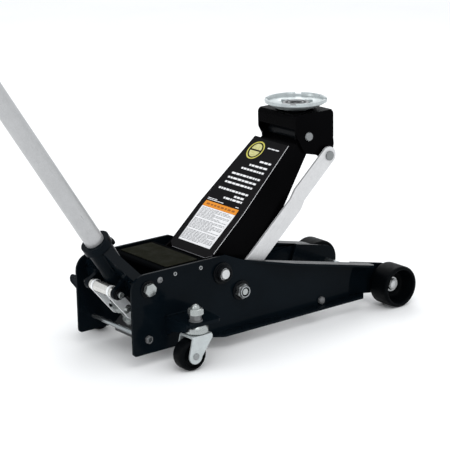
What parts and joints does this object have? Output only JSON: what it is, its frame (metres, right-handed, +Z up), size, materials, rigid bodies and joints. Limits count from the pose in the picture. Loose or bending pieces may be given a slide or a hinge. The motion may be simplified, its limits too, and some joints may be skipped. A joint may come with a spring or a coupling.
{
  "type": "hydraulic floor jack",
  "caption": "Hydraulic floor jack: steel side plates on wheels, lift arm and links that keep the saddle level, and a long pump handle.",
  "frame": {"origin": "bottom centre of the whole jack, on the ground", "axes": "+X towards the front wheels, +Y towards the left side plate, +Z up"},
  "size_m": [1.0931, 0.3008, 0.9965],
  "materials": {
    "frame_paint": "gloss black paint",
    "cover_pad": "matt textured grey-olive",
    "zinc": "bright zinc plate",
    "link_steel": "satin zinc plate",
    "saddle_zinc": "bright zinc plate on cast iron",
    "handle_plate": "satin plated tube",
    "dark_steel": "black oxide",
    "unit_iron": "painted cast iron",
    "wheel_black": "hard black plastic",
    "grip_rubber": "ribbed black rubber",
    "spring_steel": "oiled spring steel"
  },
  "bodies": {
    "frame": {"side_plate_left": "frame_paint", "side_plate_right": "frame_paint", "top_cover": "frame_paint", "cover_pad": "cover_pad", "cover_rivets": "zinc", "cover_screws": "zinc", "rear_tie_rod": "zinc", "front_tie_rod": "zinc", "tie_rod_nuts": "zinc", "caster_brackets": "frame_paint", "caster_stems": "zinc", "caster_nuts": "zinc", "caster_races": "zinc", "arm_shaft": "zinc", "arm_shaft_collars": "dark_steel", "link_lower_bolts": "zinc", "link_spacers": "dark_steel", "link_lock_nuts": "zinc", "handle_pivot_bolts": "zinc", "front_axle": "zinc", "front_axle_washers": "zinc", "front_axle_nuts": "zinc", "power_unit_block": "unit_iron", "ram_cylinder": "unit_iron", "reservoir_shell": "unit_iron", "gland_nut": "dark_steel", "filler_plug": "dark_steel", "pump_cylinder": "zinc", "return_springs": "spring_steel"},
    "lift_arm": {"lift_arm": "frame_paint", "ram_pin": "zinc"},
    "link_left": {"link_left": "link_steel"},
    "link_right": {"link_right": "link_steel"},
    "saddle_bracket": {"saddle_bracket": "frame_paint", "head_pivot_bolt": "zinc", "head_pivot_nut": "zinc", "link_upper_bolts": "zinc"},
    "saddle": {"saddle": "saddle_zinc", "saddle_ring": "zinc"},
    "ram": {"ram_rod": "zinc", "ram_head": "dark_steel"},
    "handle_socket": {"handle_socket": "frame_paint", "roller_pin": "zinc", "pump_roller": "zinc", "roller_clips": "dark_steel", "socket_screw": "zinc"},
    "pump_links": {"pump_links": "zinc"},
    "pump_plunger": {"pump_plunger": "zinc"},
    "release_valve": {"release_valve": "zinc"},
    "lower_handle": {"lower_handle": "handle_plate"},
    "upper_handle": {"upper_handle": "handle_plate", "hand_grip": "grip_rubber"},
    "caster_fork_left": {"caster_fork_left": "zinc", "caster_axle_left": "zinc"},
    "caster_fork_right": {"caster_fork_right": "zinc", "caster_axle_right": "zinc"},
    "caster_wheel_left": {"caster_wheel_left": "wheel_black"},
    "caster_wheel_right": {"caster_wheel_right": "wheel_black"},
    "front_wheel_left": {"front_wheel_left": "wheel_black"},
    "front_wheel_right": {"front_wheel_right": "wheel_black"}
  },
  "joints": [
    {"name": "arm_lift", "type": "hinge", "parent": "frame", "child": "lift_arm", "pos_m": [0.15616, 0, 0.125], "axis": [0, -1, 0], "range_deg": [-52, 13]},
    {"name": "link_left_swing", "type": "hinge", "parent": "frame", "child": "link_left", "pos_m": [0.19366, 0.0625, 0.088], "axis": [0, -1, 0], "range_deg": [-52.1, 13.1]},
    {"name": "link_right_swing", "type": "hinge", "parent": "frame", "child": "link_right", "pos_m": [0.19366, -0.0625, 0.088], "axis": [0, -1, 0], "range_deg": [-52.1, 13.1]},
    {"name": "bracket_level", "type": "hinge", "parent": "lift_arm", "child": "saddle_bracket", "pos_m": [0.36811, 0, 0.31252], "axis": [0, -1, 0], "range_deg": [-13.1, 52.1]},
    {"name": "saddle_swivel", "type": "hinge", "parent": "saddle_bracket", "child": "saddle", "pos_m": [0.38211, 0, 0.35202], "axis": [0, 0, 1], "continuous": true},
    {"name": "ram_slide", "type": "slide", "parent": "frame", "child": "ram", "axis": [1, 0, 0], "range_m": [-0.0352, 0.009], "deforming": ["return_springs"]},
    {"name": "handle_pump", "type": "hinge", "parent": "frame", "child": "handle_socket", "pos_m": [0.00986, 0, 0.1287], "axis": [0, -1, 0], "range_deg": [-15, 24]},
    {"name": "pump_links_swing", "type": "hinge", "parent": "handle_socket", "child": "pump_links", "pos_m": [-0.01984, 0, 0.117], "axis": [0, -1, 0], "range_deg": [-21, 13.2]},
    {"name": "pump_plunger_slide", "type": "slide", "parent": "frame", "child": "pump_plunger", "axis": [0.6293, 0, -0.7771], "range_m": [-0.0083, 0.0132]},
    {"name": "handle_twist", "type": "hinge", "parent": "handle_socket", "child": "lower_handle", "pos_m": [0.00986, 0, 0.1287], "axis": [-0.5336, 0, 0.8457], "range_deg": [0, 180]},
    {"name": "release_valve_turn", "type": "hinge", "parent": "frame", "child": "release_valve", "pos_m": [0.00986, 0, 0.1287], "axis": [-0.5336, 0, 0.8457], "range_deg": [0, 180.5]},
    {"name": "upper_handle_pull", "type": "slide", "parent": "lower_handle", "child": "upper_handle", "axis": [-0.5336, 0, 0.8457], "range_m": [0, 0.05]},
    {"name": "caster_swivel_left", "type": "hinge", "parent": "frame", "child": "caster_fork_left", "pos_m": [0.06416, 0.1304, 0.056], "axis": [0, 0, 1], "continuous": true},
    {"name": "caster_roll_left", "type": "hinge", "parent": "caster_fork_left", "child": "caster_wheel_left", "pos_m": [0.05016, 0.1304, 0.0255], "axis": [0, 1, 0], "continuous": true},
    {"name": "front_wheel_roll_left", "type": "hinge", "parent": "frame", "child": "front_wheel_left", "pos_m": [0.51016, 0.105, 0.0364], "axis": [0, 1, 0], "continuous": true},
    {"name": "caster_swivel_right", "type": "hinge", "parent": "frame", "child": "caster_fork_right", "pos_m": [0.06416, -0.1304, 0.056], "axis": [0, 0, 1], "continuous": true},
    {"name": "caster_roll_right", "type": "hinge", "parent": "caster_fork_right", "child": "caster_wheel_right", "pos_m": [0.05016, -0.1304, 0.0255], "axis": [0, 1, 0], "continuous": true},
    {"name": "front_wheel_roll_right", "type": "hinge", "parent": "frame", "child": "front_wheel_right", "pos_m": [0.51016, -0.105, 0.0364], "axis": [0, 1, 0], "continuous": true}
  ],
  "couplings": [
    {"joint": "link_left_swing", "follows": "arm_lift", "ratio": 1},
    {"joint": "link_right_swing", "follows": "arm_lift", "ratio": 1},
    {"joint": "bracket_level", "follows": "arm_lift", "ratio": -1},
    {"joint": "ram_slide", "follows": "arm_lift", "m_per_rad": 0.0386},
    {"joint": "pump_links_swing", "follows": "handle_pump", "ratio": -0.865},
    {"joint": "pump_plunger_slide", "follows": "handle_pump", "m_per_rad": 0.031},
    {"joint": "release_valve_turn", "follows": "handle_twist", "ratio": 1}
  ]
}
